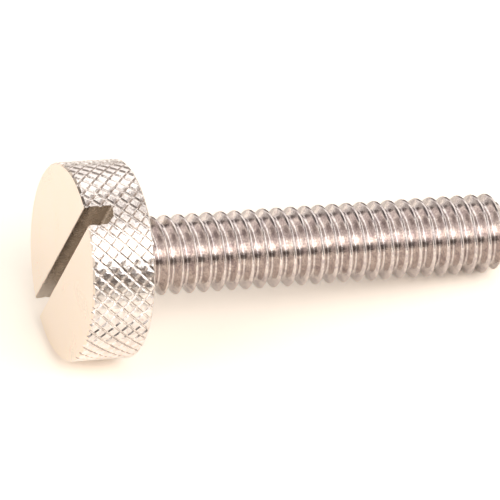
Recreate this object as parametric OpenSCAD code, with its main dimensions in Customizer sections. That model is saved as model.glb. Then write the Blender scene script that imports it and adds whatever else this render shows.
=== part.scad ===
// Slotted thumb screw with a knurled head, turned from one bar.
//
// The screw is drawn upright about Z: the shank points up from the bearing face at z = 0, and the
// head hangs below it. It is then laid down as it comes to rest, leaning from the rim of its head
// to the end of its thread, with the shank towards +X. The origin stays at the centre of the
// bearing face. All lengths are in millimetres.

/* [Head] */
// Diameter of the head
head_d = 6; // [5:0.1:12]
// Thickness of the head
head_t = 1.96; // [1.5:0.02:4]
// Bevel round the slotted face
face_bevel = 0.13; // [0.05:0.01:0.3]
// Bevel round the bearing face
seat_bevel = 0.1; // [0.05:0.01:0.3]

/* [Knurl] */
// Number of diamonds round the head
diamond_count = 43; // [24:1:60]
// Length of one diamond along the screw
diamond_l = 0.434; // [0.3:0.002:0.8]
// Depth of the grooves between the diamonds
groove_depth = 0.04; // [0.04:0.01:0.15]
// Height trimmed off the point of each diamond, which leaves it a flat top
point_trim = 0.1; // [0.02:0.01:0.15]

/* [Slot] */
// Width of the driver slot
slot_w = 0.62; // [0.4:0.02:1.2]
// Depth of the driver slot
slot_depth = 0.86; // [0.4:0.02:1.2]
// Bevel that the saw leaves along one corner of the floor of the slot
slot_bevel = 0.26; // [0.1:0.02:0.36]
// Angle of the slot, measured from straight down as the screw lies
slot_turn = 27.3; // [0:0.1:180]

/* [Thread] */
// Length of the shank below the head
shank_l = 12.1; // [6:0.1:20]
// Diameter over the thread crests
thread_d = 2.42; // [1.8:0.01:3]
// Rise of the thread in one turn
pitch = 0.45; // [0.35:0.01:0.6]
// Angle between the two flanks of the thread
flank_angle = 60; // [50:1:65]
// Angle by which the thread is turned on the shank
thread_turn = 287; // [0:1:359]
// Length of the plain neck between the head and the thread
neck_l = 0.25; // [0.2:0.05:1]
// Width of the flare that blends the neck into the head
neck_flare = 0.2; // [0.1:0.02:0.3]
// Bevel round the end of the shank
tip_bevel = 0.35; // [0.1:0.01:0.5]

/* [Smoothness] */
// Number of straight steps in one turn of the thread
thread_steps = 24; // [16:2:32]

/* [Hidden] */

head_r = head_d / 2;
crest_r = thread_d / 2;

// Thread section: flat crest, straight flanks and flat root, in the proportions of the metric thread
crest_w = pitch / 8;
root_w = pitch / 6;
flank_w = (pitch - crest_w - root_w) / 2;
thread_depth = flank_w / tan(flank_angle / 2);
root_r = crest_r - thread_depth;

// The plain neck is as thick as the thread is half way up its flanks
neck_r = (crest_r + root_r) / 2;

// How far one form runs on inside the next, and how far a rough form stands clear of its final cut
sink = 0.1;
spare = 0.05;

// The thread form starts and ends outside the finished shank
thread_z = -2 * pitch;
thread_turns = ceil((shank_l - thread_z) / pitch) + 1;

// Heights of the crests along the lowest line of the shank as it lies, and the radius left there
first_crest_z = thread_z + flank_w + crest_w / 2 - thread_turn / 360 * pitch;
lowest_crests = [for (z = [first_crest_z:pitch:shank_l]) if (z > neck_l + thread_depth) z];
function crest_left(z) = min(crest_r, crest_r - tip_bevel + shank_l - z);

// Lean of the screw at rest: it tips until the first of these crests meets the floor
lean = min([for (z = lowest_crests) atan((head_r - crest_left(z)) / (z + seat_bevel))]);

// Joins a stack of rings of points into one closed surface. Each cell is split from the corner
// whose row and column add up to an odd number, which is where two grooves cross.
module ring_stack(points, rows, cols) {
    function at(row, col) = row * cols + col % cols;
    cells = [
        for (row = [0:rows - 2], col = [0:cols - 1])
            let (
                a = at(row, col),
                b = at(row, col + 1),
                c = at(row + 1, col + 1),
                d = at(row + 1, col)
            )
            each (row + col) % 2 == 0 ? [[a, d, b], [b, d, c]] : [[a, c, b], [a, d, c]]
    ];
    bottom = [for (col = [0:cols - 1]) at(0, col)];
    top = [for (col = [cols - 1:-1:0]) at(rows - 1, col)];
    polyhedron(points, concat(cells, [bottom, top]), convexity = 8);
}

// Endless diamond knurl: points and groove crossings take turns along and round the bar
module knurled_bar() {
    cols = 2 * diamond_count;
    half_rows = ceil(head_t / diamond_l) + 1;
    rows = 2 * half_rows + 1;
    points = [
        for (row = [0:rows - 1], col = [0:cols - 1])
            let (
                r = (row + col) % 2 == 0 ? head_r + point_trim : head_r - groove_depth,
                angle = col * 360 / cols
            )
            [r * cos(angle), r * sin(angle), (row - half_rows) * diamond_l / 2 - head_t / 2]
    ];
    ring_stack(points, rows, cols);
}

// Plain turned head, bevelled at both faces
module head_blank() {
    rotate_extrude($fn = 96)
        polygon([
            [0, -head_t],
            [head_r - face_bevel, -head_t],
            [head_r, face_bevel - head_t],
            [head_r, -seat_bevel],
            [head_r - seat_bevel, 0],
            [0, 0]
        ]);
}

// Straight driver slot, sawn right across the face: its section is pushed out along the cut
module slot_cut() {
    floor_z = slot_depth - head_t;
    rotate(slot_turn)
        rotate([90, 0, 90])
            translate([0, 0, -head_d])
                linear_extrude(2 * head_d)
                    polygon([
                        [-slot_w / 2, -head_t - slot_depth],
                        [slot_w / 2, -head_t - slot_depth],
                        [slot_w / 2, floor_z],
                        [slot_bevel - slot_w / 2, floor_z],
                        [-slot_w / 2, floor_z - slot_bevel]
                    ]);
}

module head() {
    difference() {
        intersection() {
            head_blank();
            knurled_bar();
        }
        slot_cut();
    }
}

// Endless right-hand thread. Each step round the helix holds one section of the ridge, and the last
// point of a section is the first point of the section one turn later, so the turns join up.
module threaded_bar() {
    section = [
        [0, root_r],
        [flank_w, crest_r],
        [flank_w + crest_w, crest_r],
        [2 * flank_w + crest_w, root_r]
    ];
    corners = len(section);
    steps = thread_turns * thread_steps;
    ridge = [
        for (step = [0:steps + thread_steps], corner = [0:corners - 1])
            if (step <= steps || corner == 0)
                let (
                    angle = thread_turn + step * 360 / thread_steps,
                    r = section[corner][1],
                    z = thread_z + section[corner][0] + pitch * step / thread_steps
                )
                [r * cos(angle), r * sin(angle), z]
    ];
    function at(step, corner) =
        corner == corners ? at(step + thread_steps, 0) :
        step <= steps ? step * corners + corner :
        (steps + 1) * corners + step - steps - 1;
    flanks = [
        for (step = [0:steps - 1], corner = [0:corners - 1])
            let (
                a = at(step, corner),
                b = at(step, corner + 1),
                c = at(step + 1, corner + 1),
                d = at(step + 1, corner)
            )
            each [[a, b, c], [a, c, d]]
    ];
    low = len(ridge);
    high = low + 1;
    low_end = [
        for (step = [0:thread_steps - 1]) [low, at(step, 0), at(step + 1, 0)],
        for (corner = [0:corners - 1]) [low, at(0, corner + 1), at(0, corner)]
    ];
    high_end = [
        for (step = [0:thread_steps - 1]) [high, at(steps + step + 1, 0), at(steps + step, 0)],
        for (corner = [0:corners - 1]) [high, at(steps, corner), at(steps, corner + 1)]
    ];
    centres = [[0, 0, thread_z], [0, 0, thread_z + (thread_turns + 1) * pitch]];
    polyhedron(concat(ridge, centres), concat(flanks, low_end, high_end), convexity = 8);
}

// Shape that the thread is cut down to: it starts on a cone inside the neck and ends in the tip bevel
module thread_blank() {
    core_r = root_r - sink;
    blank_r = crest_r + spare;
    rotate_extrude($fn = 96)
        polygon([
            [0, neck_l + core_r - neck_r],
            [core_r, neck_l + core_r - neck_r],
            [blank_r, neck_l + blank_r - neck_r],
            [blank_r, shank_l - tip_bevel - spare],
            [crest_r - tip_bevel, shank_l],
            [0, shank_l]
        ]);
}

// Plain neck: it flares out into the head, and tapers off inside the first turns of the thread
module neck() {
    core_r = root_r - sink;
    rotate_extrude($fn = 96)
        polygon([
            [0, -sink],
            [neck_r + neck_flare + sink, -sink],
            [neck_r, neck_flare],
            [neck_r, neck_l],
            [core_r, neck_l + neck_r - core_r],
            [0, neck_l + neck_r - core_r]
        ]);
}

module shank() {
    neck();
    intersection() {
        thread_blank();
        threaded_bar();
    }
}

module thumb_screw() {
    color([0.82, 0.8, 0.77])
        rotate([0, 90 + lean, 0]) {
            head();
            shank();
        }
}

thumb_screw();
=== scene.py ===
import bpy
from math import atan2, cos, hypot, pi, radians, sin, tan
from mathutils import Matrix, Vector


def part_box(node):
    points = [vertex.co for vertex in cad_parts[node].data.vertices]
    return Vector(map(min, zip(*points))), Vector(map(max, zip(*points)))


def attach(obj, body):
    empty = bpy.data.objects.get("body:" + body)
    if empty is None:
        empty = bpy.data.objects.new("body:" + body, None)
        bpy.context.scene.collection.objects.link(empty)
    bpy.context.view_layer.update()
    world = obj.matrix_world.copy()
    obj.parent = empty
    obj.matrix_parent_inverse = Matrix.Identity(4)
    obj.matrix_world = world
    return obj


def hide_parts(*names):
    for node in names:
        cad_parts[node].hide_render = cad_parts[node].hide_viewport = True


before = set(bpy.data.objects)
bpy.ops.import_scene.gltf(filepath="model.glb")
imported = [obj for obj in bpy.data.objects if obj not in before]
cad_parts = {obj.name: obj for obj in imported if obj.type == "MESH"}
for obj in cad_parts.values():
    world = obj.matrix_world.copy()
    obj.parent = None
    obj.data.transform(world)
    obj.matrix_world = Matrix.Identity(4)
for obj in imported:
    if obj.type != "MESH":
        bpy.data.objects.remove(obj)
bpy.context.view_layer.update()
for leftover in ("Cube", "Light", "Camera"):
    if leftover in bpy.data.objects:
        bpy.data.objects.remove(bpy.data.objects[leftover])
print("frame loaded")

# The screw is modelled upright in millimetres, with its bearing face at height 0, its head below
# and its shank above. Once it is finished it is laid down along its axis and scaled to metres.
metresPerMm = 0.001
metresPerMicron = 0.000001
lean = 8.6093248  # degrees from level to the axis of the lying screw
slotTurn = 27.3  # degrees round the axis to the slot
headThickness = 1.96
smoothAngle = 30  # edges that turn more than this many degrees stay crisp

origin = Vector((0, 0, 0))
samePoint = 0.0004  # points that are closer together than this are one
unlifted = 0.00004  # vertices below this height still lie flat
sameHeight = 0.00002


def pickOnly(obj):
    bpy.ops.object.select_all(action="DESELECT")
    obj.select_set(True)
    bpy.context.view_layer.objects.active = obj


def newPiece(name, material):
    # takes over the primitive that was just added
    obj = bpy.context.object
    obj.name = name
    obj.data.name = name
    obj.data.materials.append(material)
    return obj


def editPiece(obj, kind, choice="DESELECT"):
    pickOnly(obj)
    bpy.ops.object.mode_set(mode="EDIT")
    bpy.ops.mesh.select_mode(type=kind)
    bpy.ops.mesh.select_all(action=choice)


def selectAll():
    bpy.ops.mesh.select_all(action="SELECT")


def selectWhere(obj, kind, test):
    # selects the vertices, edges or faces that pass the test, and nothing else
    bpy.ops.object.mode_set(mode="OBJECT")
    mesh = obj.data
    for part in (mesh.vertices, mesh.edges, mesh.polygons):
        part.foreach_set("select", [False] * len(part))
    if kind == "VERT":
        for vertex in mesh.vertices:
            vertex.select = test(vertex.co)
    elif kind == "EDGE":
        for edge in mesh.edges:
            edge.select = all(test(mesh.vertices[i].co) for i in edge.vertices)
    else:
        for face in mesh.polygons:
            face.select = test(face)
    bpy.ops.object.mode_set(mode="EDIT")
    bpy.ops.mesh.select_mode(type=kind)


def leaveEdit():
    bpy.ops.object.mode_set(mode="OBJECT")


def applyModifier(obj, kind, **values):
    pickOnly(obj)
    modifier = obj.modifiers.new(kind.title(), kind)
    for key, value in values.items():
        setattr(modifier, key, value)
    bpy.ops.object.modifier_apply(modifier=modifier.name)


def combine(obj, tool, operation):
    # boolean of two closed meshes; a cut face keeps the material of the tool that cut it
    applyModifier(obj, "BOOLEAN", object=tool, operation=operation, solver="EXACT",
                  material_mode="TRANSFER")
    bpy.data.objects.remove(tool)


def mergeDoubles(obj):
    editPiece(obj, "VERT", "SELECT")
    bpy.ops.mesh.remove_doubles(threshold=samePoint)
    leaveEdit()


def report(obj):
    vertices = obj.data.vertices
    box = [(round(min(v.co[i] for v in vertices), 3), round(max(v.co[i] for v in vertices), 3))
           for i in range(3)]
    print(obj.name, len(obj.data.polygons), "faces", box)


def colourRamp(tree, value, steps):
    # steps are (position, colour) in rising order
    ramp = tree.nodes.new("ShaderNodeValToRGB")
    stops = ramp.color_ramp.elements
    for position, _ in steps[1:-1]:
        stops.new(position)
    for stop, (position, colour) in zip(stops, steps):
        stop.position = position
        stop.color = (*colour, 1)
    tree.links.new(value, ramp.inputs["Fac"])
    return ramp.outputs["Color"]


def layOver(tree, share, below, colour):
    # lays a plain colour over what is below, where the share says so
    mix = tree.nodes.new("ShaderNodeMix")
    mix.data_type = "RGBA"
    mix.inputs["B"].default_value = (*colour, 1)
    tree.links.new(share, mix.inputs["Factor"])
    tree.links.new(below, mix.inputs["A"])
    return mix.outputs["Result"]


# The finishes are plating over cut metal, each cut with its own tool marks. Colour and shade are the
# clean and the dull plating, and roughness is the range between them. Grain is fine pitting, waves
# are soft unevenness and lines are tool marks, each with its count in a millimetre and its depth in
# thousandths of a millimetre. Lines follow one another by "radius", by "length" along the screw or
# by "depth" in the slot.
finishes = {
    "face": {
        "colour": (0.59, 0.51, 0.43), "shade": (0.58, 0.5, 0.42), "roughness": (0.22, 0.28),
        "grain": (22, 0.2), "waves": (0.8, 0.6), "lines": ("radius", 26, 0.2),
    },
    "knurl": {
        "colour": (0.72, 0.67, 0.63), "shade": (0.52, 0.47, 0.44), "roughness": (0.12, 0.24),
        "grain": (22, 3.0), "waves": (5.0, 8.0), "lines": ("length", 18, 0.8),
    },
    # the slot's plating is set darker than the knurl's: painted shade in the slot
    "slot": {
        "colour": (0.46, 0.405, 0.35), "shade": (0.43, 0.375, 0.32), "roughness": (0.24, 0.3),
        "grain": (26, 0.6), "waves": (1.5, 0.2), "lines": ("depth", 20, 1.2),
    },
    # the thread's plating is set darker than the knurl's and the neck's: painted shade in its
    # grooves
    "thread": {
        "colour": (0.63, 0.57, 0.535), "shade": (0.4, 0.34, 0.335), "roughness": (0.13, 0.24),
        "grain": (18, 1.8), "waves": (4.5, 3.2), "lines": ("length", 22, 0.7),
    },
    "turned": {
        "colour": (0.72, 0.66, 0.6), "shade": (0.56, 0.5, 0.46), "roughness": (0.18, 0.3),
        "grain": (20, 0.6), "waves": (2.0, 1.5), "lines": ("radius", 22, 0.8),
    },
}

# waves times grain says how clean a spot is: its values at fully dull and at fully clean
dullToClean = {"colour": (0.12, 0.32), "roughness": (0.12, 0.35)}


def makeMetal(name):
    finish = finishes[name]
    material = bpy.data.materials.new(name + "Metal")
    material.use_nodes = True
    nodes = material.node_tree.nodes
    links = material.node_tree.links
    shader = nodes["Principled BSDF"]
    shader.inputs["Metallic"].default_value = 1.0

    # millimetres, with X along the screw and Y along the slot
    coords = nodes.new("ShaderNodeTexCoord")
    level = nodes.new("ShaderNodeMapping")
    level.inputs["Rotation"].default_value = (0, -radians(lean), 0)
    level.inputs["Scale"].default_value = (1 / metresPerMm, 1 / metresPerMm, 1 / metresPerMm)
    links.new(coords.outputs["Object"], level.inputs["Vector"])
    toSlot = nodes.new("ShaderNodeMapping")
    toSlot.inputs["Rotation"].default_value = (radians(slotTurn), 0, 0)
    links.new(level.outputs["Vector"], toSlot.inputs["Vector"])
    place = toSlot.outputs["Vector"]

    # the run of the tool marks
    way, perMm, lineDepth = finish["lines"]
    split = nodes.new("ShaderNodeSeparateXYZ")
    links.new(place, split.inputs["Vector"])
    along = split.outputs["X"]
    if way == "radius":
        flat = nodes.new("ShaderNodeVectorMath")
        flat.operation = "MULTIPLY"
        flat.inputs[1].default_value = (0, 1, 1)
        links.new(place, flat.inputs[0])
        length = nodes.new("ShaderNodeVectorMath")
        length.operation = "LENGTH"
        links.new(flat.outputs["Vector"], length.inputs[0])
        along = length.outputs["Value"]
    elif way == "depth":
        both = nodes.new("ShaderNodeMath")
        both.operation = "ADD"
        links.new(split.outputs["X"], both.inputs[0])
        links.new(split.outputs["Z"], both.inputs[1])
        along = both.outputs["Value"]
    lines = nodes.new("ShaderNodeTexNoise")
    lines.noise_dimensions = "1D"
    lines.inputs["Scale"].default_value = perMm
    lines.inputs["Detail"].default_value = 2
    links.new(along, lines.inputs["W"])

    waves = nodes.new("ShaderNodeTexNoise")
    waves.inputs["Scale"].default_value = finish["waves"][0]
    waves.inputs["Detail"].default_value = 2
    links.new(place, waves.inputs["Vector"])
    grain = nodes.new("ShaderNodeTexNoise")
    grain.inputs["Scale"].default_value = finish["grain"][0]
    grain.inputs["Detail"].default_value = 3
    links.new(place, grain.inputs["Vector"])

    clean = nodes.new("ShaderNodeMath")
    clean.operation = "MULTIPLY"
    links.new(waves.outputs["Fac"], clean.inputs[0])
    links.new(grain.outputs["Fac"], clean.inputs[1])
    dullest, cleanest = dullToClean["colour"]
    plating = colourRamp(material.node_tree, clean.outputs["Value"], (
        (dullest, finish["shade"]),
        (cleanest, finish["colour"]),
    ))
    links.new(plating, shader.inputs["Base Color"])
    rough = nodes.new("ShaderNodeMapRange")
    rough.inputs["From Min"].default_value = dullToClean["roughness"][1]
    rough.inputs["From Max"].default_value = dullToClean["roughness"][0]
    rough.inputs["To Min"].default_value = finish["roughness"][0]
    rough.inputs["To Max"].default_value = finish["roughness"][1]
    links.new(clean.outputs["Value"], rough.inputs["Value"])
    links.new(rough.outputs["Result"], shader.inputs["Roughness"])

    # three layers of relief, each with its own depth
    normal = None
    reliefs = (waves, finish["waves"][1]), (lines, lineDepth), (grain, finish["grain"][1])
    for layer, depth in reliefs:
        bump = nodes.new("ShaderNodeBump")
        bump.inputs["Distance"].default_value = depth * metresPerMicron
        links.new(layer.outputs["Fac"], bump.inputs["Height"])
        if normal:
            links.new(normal, bump.inputs["Normal"])
        normal = bump.outputs["Normal"]
    links.new(normal, shader.inputs["Normal"])
    return material


faceMetal = makeMetal("face")
knurlMetal = makeMetal("knurl")
slotMetal = makeMetal("slot")
threadMetal = makeMetal("thread")
turnedMetal = makeMetal("turned")
print("finishes made")


# The knurl: one diamond is modelled flat and repeated into a strip, and the strip is bent round.
knurlSettings = {
    "radius": 3.0,
    "aroundCount": 43,
    "diamondLength": 0.434,
    "rowCount": 10,
    "rowClimb": 3,  # rows that the pattern climbs in one turn
    "grooveDepth": 0.06,
    # Two sets of grooves cross, a deep one and a light one, and each groove has a steep wall on one
    # side and a shoulder on the other. Each side is given by distances from the middle of its groove
    # and heights above the floor of the deep one.
    "deepWall": ((0.003, 0), (0.063, 0.06)),
    "deepShoulder": ((0.003, 0), (0.008, 0.05), (0.075, 0.06)),
    "lightWall": ((0.016, 0), (0.058, 0.06)),
    "lightShoulder": ((0.016, 0), (0.021, 0.038), (0.07, 0.06)),
    "crispAngle": 5,  # even the gentle shoulders keep a crisp edge
    "unevenness": 0.003,
    "turn": 1.9,  # degrees that the finished pattern is turned, and how far it is shifted up
    "shift": 0.212,
}


def heightAt(groove, distance):
    # height of one side of a groove, at a distance from its middle
    below = (0, 0) if groove[0][0] else groove[0]
    for step in groove:
        if distance <= step[0] + samePoint:
            rise = (distance - below[0]) / max(step[0] - below[0], samePoint)
            return below[1] + min(rise, 1) * (step[1] - below[1])
        below = step
    return groove[-1][1]


def makeKnurledBar(knurl):
    grooveRadius = knurl["radius"] - knurl["grooveDepth"]
    width = 2 * pi * grooveRadius / knurl["aroundCount"]
    length = knurl["diamondLength"]
    climb = length * knurl["rowClimb"] / knurl["aroundCount"]
    # the two edges of a diamond, and how far apart opposite edges stand
    deepEdge = Vector((width / 2, (climb - length) / 2))
    lightEdge = Vector((width / 2, (climb + length) / 2))
    area = width * length / 2
    deepGap = area / deepEdge.length
    lightGap = area / lightEdge.length

    bpy.ops.object.select_all(action="DESELECT")
    bpy.ops.mesh.primitive_plane_add(size=1)
    bar = newPiece("knurledBar", knurlMetal)
    # the square is cut where the slope changes, and once across the middle each way
    editPiece(bar, "FACE")
    for side, groove, gap, normal in (
        (-1, "deepWall", deepGap, (0, 1, 0)),
        (1, "deepShoulder", deepGap, (0, 1, 0)),
        (-1, "lightShoulder", lightGap, (1, 0, 0)),
        (1, "lightWall", lightGap, (1, 0, 0)),
    ):
        for distance, height in knurl[groove] + ((gap / 2, 0),):
            if distance:
                place = side * (0.5 - distance / gap)
                selectAll()
                bpy.ops.mesh.bisect(plane_co=(place, place, 0), plane_no=normal)
    selectAll()
    bpy.ops.mesh.remove_doubles(threshold=samePoint)

    def cellHeight(co):
        return min(
            heightAt(knurl["deepWall"], (0.5 + co.y) * deepGap),
            heightAt(knurl["deepShoulder"], (0.5 - co.y) * deepGap),
            heightAt(knurl["lightShoulder"], (0.5 + co.x) * lightGap),
            heightAt(knurl["lightWall"], (0.5 - co.x) * lightGap),
        )

    leaveEdit()
    heights = sorted({round(cellHeight(v.co), 5) for v in bar.data.vertices})
    editPiece(bar, "VERT")
    for height in heights[1:]:
        selectWhere(bar, "VERT", lambda co: (
            co.z < unlifted and abs(cellHeight(co) - height) < sameHeight))
        bpy.ops.transform.translate(value=(0, 0, height))
    # the square becomes a slanting diamond: turned, stretched and turned again
    selectAll()
    sumTurn = atan2(deepEdge.y - lightEdge.x, deepEdge.x + lightEdge.y)
    gapTurn = atan2(deepEdge.y + lightEdge.x, deepEdge.x - lightEdge.y)
    sumSize = hypot(deepEdge.x + lightEdge.y, deepEdge.y - lightEdge.x)
    gapSize = hypot(deepEdge.x - lightEdge.y, deepEdge.y + lightEdge.x)
    bpy.ops.transform.rotate(value=(gapTurn - sumTurn) / 2, orient_axis="Z",
                             center_override=origin)
    bpy.ops.transform.resize(value=((sumSize + gapSize) / 2, (sumSize - gapSize) / 2, 1))
    bpy.ops.transform.rotate(value=-(sumTurn + gapTurn) / 2, orient_axis="Z",
                             center_override=origin)
    # a second diamond sits half a step along and half a step up
    bpy.ops.mesh.duplicate_move(
        TRANSFORM_OT_translate={"value": (width / 2, (length + climb) / 2, 0)})
    leaveEdit()
    # one column more than the count, because the first one starts half a diamond early
    rounds = (
        (knurl["rowCount"], (0, length, 0)),
        (knurl["aroundCount"] + 1, (width, climb, 0)),
    )
    for count, step in rounds:
        applyModifier(bar, "ARRAY", count=count, use_relative_offset=False,
                      use_constant_offset=True, constant_offset_displace=step)
    # the strip gets straight ends and stands up before it is bent
    editPiece(bar, "VERT")
    lowEnd = length * knurl["rowClimb"]
    highEnd = length * (knurl["rowCount"] - 1)
    for place, normal, lower in (
        ((0, lowEnd, 0), (0, 1, 0), True),
        ((0, highEnd, 0), (0, 1, 0), False),
        ((0, 0, 0), (1, 0, 0), True),
        ((width * knurl["aroundCount"], 0, 0), (1, 0, 0), False),
    ):
        selectAll()
        bpy.ops.mesh.bisect(plane_co=place, plane_no=normal,
                            clear_inner=lower, clear_outer=not lower)
    selectAll()
    bpy.ops.mesh.remove_doubles(threshold=samePoint)
    bpy.ops.transform.translate(value=(0, -(lowEnd + highEnd) / 2, 0))
    bpy.ops.transform.rotate(value=-pi / 2, orient_axis="X", center_override=origin)
    leaveEdit()
    applyModifier(bar, "SIMPLE_DEFORM", deform_method="BEND", deform_axis="Z", angle=2 * pi)
    editPiece(bar, "VERT", "SELECT")
    bpy.ops.transform.translate(value=(0, -grooveRadius, knurl["shift"] - headThickness / 2))
    bpy.ops.transform.rotate(value=-radians(knurl["turn"]), orient_axis="Z",
                             center_override=origin)
    bpy.ops.mesh.remove_doubles(threshold=samePoint)
    bpy.ops.mesh.select_all(action="DESELECT")
    bpy.ops.mesh.select_non_manifold()
    bpy.ops.mesh.fill_holes(sides=0)
    selectAll()
    bpy.ops.mesh.normals_make_consistent(inside=False)
    bpy.ops.transform.vertex_random(offset=knurl["unevenness"], normal=1, seed=4)
    bpy.ops.mesh.select_mode(type="EDGE")
    bpy.ops.mesh.select_all(action="DESELECT")
    bpy.ops.mesh.edges_select_sharp(sharpness=radians(knurl["crispAngle"]))
    bpy.ops.mesh.mark_sharp()
    leaveEdit()
    return bar


# The head: the knurled bar is turned to length, with a bevel at each face.
headSettings = {
    "radius": knurlSettings["radius"],
    "faceBevel": 0.06,
    "seatBevel": 0.07,
    "sides": 258,
}


def makeHeadBlank(head):
    bpy.ops.object.select_all(action="DESELECT")
    bpy.ops.mesh.primitive_cylinder_add(vertices=head["sides"], radius=head["radius"],
                                        depth=headThickness, end_fill_type="NGON")
    blank = newPiece("headBlank", faceMetal)
    blank.data.materials.append(knurlMetal)
    editPiece(blank, "VERT", "SELECT")
    bpy.ops.transform.translate(value=(0, 0, -headThickness / 2))
    for height, bevel in ((-headThickness, head["faceBevel"]), (0, head["seatBevel"])):
        selectWhere(blank, "EDGE", lambda co: abs(co.z - height) < samePoint)
        bpy.ops.mesh.bevel(offset=bevel, segments=1, affect="EDGES")
    # the rim and the bevel of the bearing face are finished like the knurl
    selectWhere(blank, "FACE", lambda face: (
        abs(face.normal.z) < 0.5 or -head["seatBevel"] < face.center.z < 0))
    blank.active_material_index = 1
    bpy.ops.object.material_slot_assign()
    leaveEdit()
    return blank


# The slot: a saw cut right across the face, with the bevel that the saw left along one corner.
slotSettings = {
    "width": 0.62,
    "depth": 0.86,
    "floorBevel": 0.26,
    "cornerRound": 0.05,
    "mouthFlare": 0.02,
    "cutterLength": 8.0,
    "cutterSpare": 0.4,  # how far the cutter stands out of the face
}


def makeSlotCutter(slot):
    slotFloor = slot["depth"] - headThickness
    spare = slot["cutterSpare"]
    bpy.ops.object.select_all(action="DESELECT")
    bpy.ops.mesh.primitive_cube_add(size=1)
    cutter = newPiece("slotCutter", slotMetal)
    editPiece(cutter, "VERT", "SELECT")
    bpy.ops.transform.resize(value=(slot["cutterLength"], slot["width"], slot["depth"] + spare))
    bpy.ops.transform.translate(value=(0, 0, slotFloor - (slot["depth"] + spare) / 2))
    # the mouth flares out a little at the face
    bpy.ops.mesh.bisect(plane_co=(0, 0, slot["mouthFlare"] - headThickness), plane_no=(0, 0, 1))
    selectWhere(cutter, "VERT", lambda co: co.z < -headThickness - spare / 2)
    flared = slot["width"] / 2 + slot["mouthFlare"] + spare
    bpy.ops.transform.resize(value=(1, flared * 2 / slot["width"], 1))
    # one corner of the slot's floor is bevelled wide, the other is only rounded
    for side, bevel, segments in ((-1, slot["floorBevel"], 1), (1, slot["cornerRound"], 3)):
        selectWhere(cutter, "EDGE", lambda co: (
            co.z > slotFloor - samePoint and side * co.y > slot["width"] / 2 - samePoint))
        bpy.ops.mesh.bevel(offset=bevel, segments=segments, affect="EDGES")
    selectAll()
    bpy.ops.transform.rotate(value=-radians(slotTurn), orient_axis="Z", center_override=origin)
    leaveEdit()
    return cutter


# The shank: a thread section is swept up a helix, turned down to length and set on a plain neck.
threadSettings = {
    "pitch": 0.45,
    "crestRadius": 1.21,
    "crestShare": 8,  # the flat crest and the flat root are these parts of the pitch
    "rootShare": 6,
    "flankAngle": 60,
    "crestRound": 0.03,
    "rootRound": 0.045,
    "turn": 287,
    "start": -0.9,
    "turns": 31,
    "steps": 72,
    "length": 12.1,
    "tipBevel": 0.35,
    "neckLength": 0.25,
    "neckFlare": 0.2,
    # points on the flare's curve: share of neckFlare outwards and upwards
    "flareCurve": ((0.5, 0.35), (0.15, 0.75), (0, 1.05)),
    "roughStart": 0.05,  # heights at which the rough thread is cut off
    "roughEnd": 12.12,
    "sink": 0.1,  # how far one form runs on inside the next
    "spare": 0.05,  # how far a rough form stands clear of its final cut
    "sides": 144,
}


def threadWidths(thread):
    # how much of the pitch one flank, the crest and the root take up
    crestWidth = thread["pitch"] / thread["crestShare"]
    rootWidth = thread["pitch"] / thread["rootShare"]
    return (thread["pitch"] - crestWidth - rootWidth) / 2, crestWidth, rootWidth


def threadSection(thread):
    # one turn of the thread from root to root, as distance along the screw and radius
    flankWidth, crestWidth, rootWidth = threadWidths(thread)
    depth = flankWidth / tan(radians(thread["flankAngle"] / 2))
    slope = flankWidth / depth
    crest = thread["crestRadius"]
    root = crest - depth
    middle = thread["pitch"] / 2
    crestRound = thread["crestRound"]
    rootRound = thread["rootRound"]
    half = [
        (0, root),
        # rounded root
        (rootWidth / 2 - rootRound * 0.4, root + rootRound * 0.1),
        (rootWidth / 2 + rootRound * 0.3 * slope, root + rootRound * 0.5),
        (rootWidth / 2 + rootRound * 1.1 * slope, root + rootRound * 1.1),
        # straight flank
        (rootWidth / 2 + flankWidth * 0.35, root + depth * 0.35),
        (rootWidth / 2 + flankWidth * 0.65, root + depth * 0.65),
        # rounded crest
        (middle - crestWidth / 2 - crestRound * slope, crest - crestRound),
        (middle - crestWidth / 2 + crestRound * 0.3, crest - crestRound * 0.25),
        (middle, crest),
    ]
    return half + [(thread["pitch"] - along, radius) for along, radius in reversed(half[:-1])]


def makeThread(thread):
    pitch = thread["pitch"]
    flankWidth, crestWidth, rootWidth = threadWidths(thread)
    firstCrest = thread["start"] + flankWidth + crestWidth / 2 - thread["turn"] / 360 * pitch
    bpy.ops.object.select_all(action="DESELECT")
    bpy.ops.mesh.primitive_plane_add(size=1)
    bar = newPiece("threadedBar", threadMetal)
    editPiece(bar, "VERT", "SELECT")
    bpy.ops.mesh.merge(type="CENTER")
    section = threadSection(thread)
    # the section starts at the root below the crest, one turn early
    bpy.ops.transform.translate(value=(section[0][1], 0, firstCrest - pitch * 1.5))
    for (fromAlong, fromRadius), (along, radius) in zip(section, section[1:]):
        bpy.ops.mesh.extrude_region_move(
            TRANSFORM_OT_translate={"value": (radius - fromRadius, 0, along - fromAlong)})
    leaveEdit()
    applyModifier(bar, "SCREW", angle=2 * pi, screw_offset=pitch, iterations=thread["turns"],
                  steps=thread["steps"], render_steps=thread["steps"], use_smooth_shade=False)
    mergeDoubles(bar)
    editPiece(bar, "VERT")
    for height, lower in ((thread["roughStart"], True), (thread["roughEnd"], False)):
        selectAll()
        bpy.ops.mesh.bisect(plane_co=(0, 0, height), plane_no=(0, 0, 1), use_fill=True,
                            clear_inner=lower, clear_outer=not lower)
    selectAll()
    bpy.ops.mesh.normals_make_consistent(inside=False)
    leaveEdit()
    return bar


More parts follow.
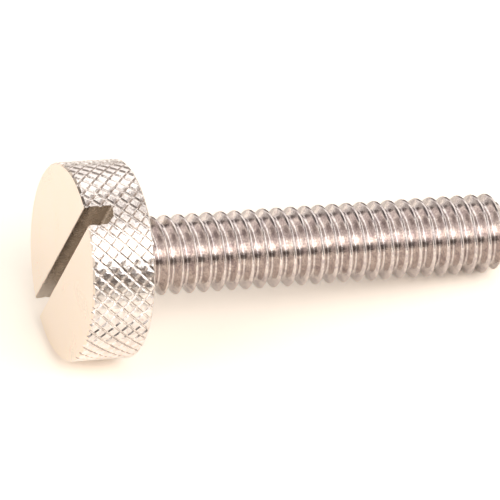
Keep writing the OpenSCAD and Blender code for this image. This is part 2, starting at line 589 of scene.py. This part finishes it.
def makeTurned(name, material, rings, sides):
    # a closed turned form: a disc is extruded from ring to ring, each with its radius and height
    radius, height = rings[0]
    bpy.ops.object.select_all(action="DESELECT")
    bpy.ops.mesh.primitive_circle_add(vertices=sides, radius=radius, fill_type="NGON",
                                      location=(0, 0, height))
    form = newPiece(name, material)
    pickOnly(form)
    bpy.ops.object.transform_apply(location=True, rotation=False, scale=False)
    editPiece(form, "FACE", "SELECT")
    for nextRadius, nextHeight in rings[1:]:
        bpy.ops.mesh.extrude_region_move(
            TRANSFORM_OT_translate={"value": (0, 0, nextHeight - height)})
        bpy.ops.transform.resize(value=(nextRadius / radius, nextRadius / radius, 1))
        radius, height = nextRadius, nextHeight
    selectAll()
    bpy.ops.mesh.normals_make_consistent(inside=False)
    leaveEdit()
    return form


def makeShank(thread):
    root = threadSection(thread)[0][1]
    crest = thread["crestRadius"]
    neckRadius = (crest + root) / 2
    core = root - thread["sink"]
    over = crest + thread["spare"]
    start = thread["neckLength"] - neckRadius
    end = thread["length"]
    shank = makeThread(thread)
    blank = makeTurned("threadBlank", turnedMetal, (
        (core, start + core),
        (over, start + over),
        (over, end - thread["tipBevel"] - thread["spare"]),
        (crest - thread["tipBevel"], end),
    ), thread["sides"])
    combine(shank, blank, "INTERSECT")
    flare = thread["neckFlare"]
    neck = makeTurned("neck", turnedMetal, (
        (neckRadius + flare + thread["sink"], -thread["sink"]),
        *((neckRadius + flare * out, flare * up) for out, up in thread["flareCurve"]),
        (neckRadius, thread["neckLength"]),
        (core, thread["neckLength"] + neckRadius - core),
    ), thread["sides"])
    combine(shank, neck, "UNION")
    return shank


screw = makeKnurledBar(knurlSettings)
report(screw)
combine(screw, makeHeadBlank(headSettings), "INTERSECT")
combine(screw, makeSlotCutter(slotSettings), "DIFFERENCE")
report(screw)
print("head knurled, turned and slotted")
shank = makeShank(threadSettings)
report(shank)
combine(screw, shank, "UNION")
mergeDoubles(screw)
screw.name = "thumbScrew"
screw.data.name = "thumbScrew"
report(screw)
print("shank joined to the head")

# the screw lies on the rim of its head and on its thread
axis = Vector((cos(radians(lean)), 0, -sin(radians(lean))))
lie = Vector((0, 0, 1)).rotation_difference(axis).to_matrix().to_4x4()
pickOnly(screw)
screw.matrix_world = lie @ Matrix.Scale(metresPerMm, 4)
bpy.ops.object.transform_apply(location=True, rotation=True, scale=True)
bpy.ops.object.shade_smooth_by_angle(angle=radians(smoothAngle), keep_sharp_edges=True)
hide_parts("thumb_screw")
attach(screw, "root")

# metres, but the lens and the sensor in millimetres
cameraSettings = {
    "place": (-0.062079, -0.204825, 0.162789),
    "right": (0.95169, -0.30705, 0),
    "up": (0.18568, 0.57553, 0.79642),
    "back": (-0.24454, -0.75795, 0.60474),
    "lens": 643.98,
    "sensorWidth": 36,
    "nearest": 0.01,
}

bpy.ops.object.camera_add()
camera = bpy.context.object
camera.name = "Camera"
turned = Matrix([cameraSettings[side] for side in ("right", "up", "back")]).transposed().to_4x4()
camera.matrix_world = Matrix.Translation(cameraSettings["place"]) @ turned
camera.data.lens = cameraSettings["lens"]
camera.data.sensor_width = cameraSettings["sensorWidth"]
camera.data.clip_start = cameraSettings["nearest"]
bpy.context.scene.camera = camera

floorSettings = {
    "size": 2,
    # its own colour, and those that the camera and the polished metal see
    "colour": (0.95, 0.91, 0.85),
    "seenColour": (1.59, 1.47, 1.31),
    "glossColour": (1.95, 1.83, 1.68),
    # share of glossColour from the front of the table to the painted shade behind and under the
    # screw, by metres along Y
    "glossPaintedShade": ((-0.03, 0.55), (-0.011, 1.0), (-0.002, 0.86), (0.0005, 0.62)),
    # beside the face the painted shade is left out: share of glossColour, and from where to where
    # along X
    "openShare": 1.03,
    "openFrom": -0.0005,
    "openTo": -0.003,
}


def makeFloorPaint(table):
    # matt white, which the camera and the polished metal see brighter than it is
    paint = bpy.data.materials.new("floorPaint")
    paint.use_nodes = True
    tree = paint.node_tree
    nodes = tree.nodes
    links = tree.links
    nodes.remove(nodes["Principled BSDF"])
    matt = nodes.new("ShaderNodeBsdfDiffuse")
    path = nodes.new("ShaderNodeLightPath")
    coords = nodes.new("ShaderNodeTexCoord")
    split = nodes.new("ShaderNodeSeparateXYZ")
    links.new(coords.outputs["Object"], split.inputs["Vector"])
    front = table["glossPaintedShade"][0][0]
    back = table["glossPaintedShade"][-1][0]
    depth = nodes.new("ShaderNodeMapRange")
    depth.inputs["From Min"].default_value = front
    depth.inputs["From Max"].default_value = back
    links.new(split.outputs["Y"], depth.inputs["Value"])
    gloss = Vector(table["glossColour"])
    # painted shade: the floor that the metal sees darkens towards the back, behind and under the
    # screw
    colour = colourRamp(tree, depth.outputs["Result"], [
        ((place - front) / (back - front), gloss * share) for place, share in table["glossPaintedShade"]
    ])
    beside = nodes.new("ShaderNodeMapRange")
    beside.inputs["From Min"].default_value = table["openFrom"]
    beside.inputs["From Max"].default_value = table["openTo"]
    links.new(split.outputs["X"], beside.inputs["Value"])
    colour = layOver(tree, beside.outputs["Result"], colour, gloss * table["openShare"])
    colour = layOver(tree, path.outputs["Is Camera Ray"], colour, table["seenColour"])
    colour = layOver(tree, path.outputs["Is Diffuse Ray"], colour, table["colour"])
    links.new(colour, matt.inputs["Color"])
    links.new(matt.outputs["BSDF"], nodes["Material Output"].inputs["Surface"])
    return paint


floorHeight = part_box("thumb_screw")[0].z
bpy.ops.mesh.primitive_plane_add(size=floorSettings["size"], location=(0, 0, floorHeight))
floor = newPiece("floor", makeFloorPaint(floorSettings))

studioSettings = {
    "lampDistance": 0.7,
    # inGloss is how many times brighter the metal shows a lamp. The front lamp burns out in it. The
    # side lamp isn't shown and only lights the floor.
    "lamps": {
        "frontLamp": {"azimuth": -72, "elevation": 41, "width": 0.66, "height": 0.36,
                      "power": 2.1, "inGloss": 3.5},
        "sideLamp": {"azimuth": -168, "elevation": 42, "width": 0.4, "height": 0.4,
                     "power": 1.0, "inGloss": 0},
    },
    "roomLight": 0.6,  # strength of the room as a light, and as polished metal shows it
    "roomInGloss": 1.78,
    # brightness of the room by height, as the sine of the elevation
    "room": (
        (0.0, (0.6, 0.57, 0.55)),
        (0.2, (0.84, 0.81, 0.79)),
        (0.5, (0.98, 0.95, 0.93)),
        (0.85, (1.05, 1.02, 1.0)),
        (1.0, (1.2, 1.18, 1.16)),
    ),
    # what stands round the table: azimuth, elevation, half width, soft edge, colour
    "surroundings": (
        (-22, 22, 15, 10, (1.3, 1.28, 1.25)),
        (-5, 54, 14, 12, (0.92, 0.89, 0.88)),
        (29, 44, 8, 5, (0.16, 0.14, 0.135)),
        (10, 49, 8, 5, (0.42, 0.38, 0.37)),
        (38, 22, 14, 5, (0.1, 0.085, 0.08)),
        (-40, 25, 8, 6, (1.8, 1.7, 1.6)),
        (64, 32, 18, 12, (1.15, 1.12, 1.1)),
        (58, 7, 12, 9, (0.85, 0.8, 0.79)),
        (92, 14, 14, 6, (0.12, 0.1, 0.1)),
        (136, 17, 12, 10, (0.36, 0.33, 0.31)),
        (171, 2, 9, 6, (1.4, 1.36, 1.3)),
        (145, 33, 12, 6, (0.08, 0.07, 0.07)),
        (-144, 15, 8, 6, (0.08, 0.068, 0.06)),
        (-170, 47, 9, 7, (0.14, 0.12, 0.11)),
        (-172, 63, 9, 8, (0.25, 0.22, 0.2)),
        (-129, 12, 7, 4, (0.06, 0.05, 0.045)),
        (-101, 10, 10, 8, (0.07, 0.058, 0.052)),
        (-80, 8, 10, 6, (0.08, 0.066, 0.06)),
        (-65, 8, 9, 4, (0.11, 0.09, 0.082)),
    ),
}


def towards(azimuth, elevation):
    return Vector((cos(radians(azimuth)) * cos(radians(elevation)),
                   sin(radians(azimuth)) * cos(radians(elevation)),
                   sin(radians(elevation))))


def makeRoom(studio):
    world = bpy.data.worlds.new("studio")
    world.use_nodes = True
    tree = world.node_tree
    nodes = tree.nodes
    links = tree.links
    direction = nodes.new("ShaderNodeTexCoord")
    split = nodes.new("ShaderNodeSeparateXYZ")
    links.new(direction.outputs["Generated"], split.inputs["Vector"])
    colour = colourRamp(tree, split.outputs["Z"], studio["room"])
    for azimuth, elevation, halfWidth, edge, cardColour in studio["surroundings"]:
        facing = nodes.new("ShaderNodeVectorMath")
        facing.operation = "DOT_PRODUCT"
        facing.inputs[1].default_value = towards(azimuth, elevation)
        links.new(direction.outputs["Generated"], facing.inputs[0])
        cover = nodes.new("ShaderNodeMapRange")
        cover.interpolation_type = "SMOOTHSTEP"
        cover.inputs["From Min"].default_value = cos(radians(halfWidth + edge))
        cover.inputs["From Max"].default_value = cos(radians(halfWidth))
        links.new(facing.outputs["Value"], cover.inputs["Value"])
        colour = layOver(tree, cover.outputs["Result"], colour, cardColour)
    # the camera itself sees plain white beyond the floor
    path = nodes.new("ShaderNodeLightPath")
    colour = layOver(tree, path.outputs["Is Camera Ray"], colour, (1, 1, 1))
    background = nodes["Background"]
    links.new(colour, background.inputs["Color"])
    gloss = nodes.new("ShaderNodeMapRange")
    gloss.inputs["To Min"].default_value = studio["roomLight"]
    gloss.inputs["To Max"].default_value = studio["roomInGloss"]
    links.new(path.outputs["Is Glossy Ray"], gloss.inputs["Value"])
    links.new(gloss.outputs["Result"], background.inputs["Strength"])
    bpy.context.scene.world = world


def makeLamp(name, softbox, distance):
    place = towards(softbox["azimuth"], softbox["elevation"]) * distance
    bpy.ops.object.light_add(type="AREA", location=place)
    lamp = bpy.context.object
    lamp.name = name
    lamp.rotation_euler = place.to_track_quat("Z", "Y").to_euler()
    lamp.visible_glossy = softbox["inGloss"] > 0
    lamp.data.shape = "RECTANGLE"
    lamp.data.size = softbox["width"]
    lamp.data.size_y = softbox["height"]
    lamp.data.energy = softbox["power"]
    lamp.data.use_nodes = True
    nodes = lamp.data.node_tree.nodes
    links = lamp.data.node_tree.links
    path = nodes.new("ShaderNodeLightPath")
    glare = nodes.new("ShaderNodeMapRange")
    glare.inputs["To Min"].default_value = 1
    glare.inputs["To Max"].default_value = softbox["inGloss"]
    links.new(path.outputs["Is Glossy Ray"], glare.inputs["Value"])
    links.new(glare.outputs["Result"], nodes["Emission"].inputs["Strength"])


makeRoom(studioSettings)
for lampName, lampSettings in studioSettings["lamps"].items():
    makeLamp(lampName, lampSettings, studioSettings["lampDistance"])
print("camera, floor and light set up")

bpy.context.scene.view_settings.view_transform = "Standard"

print("scene ready")
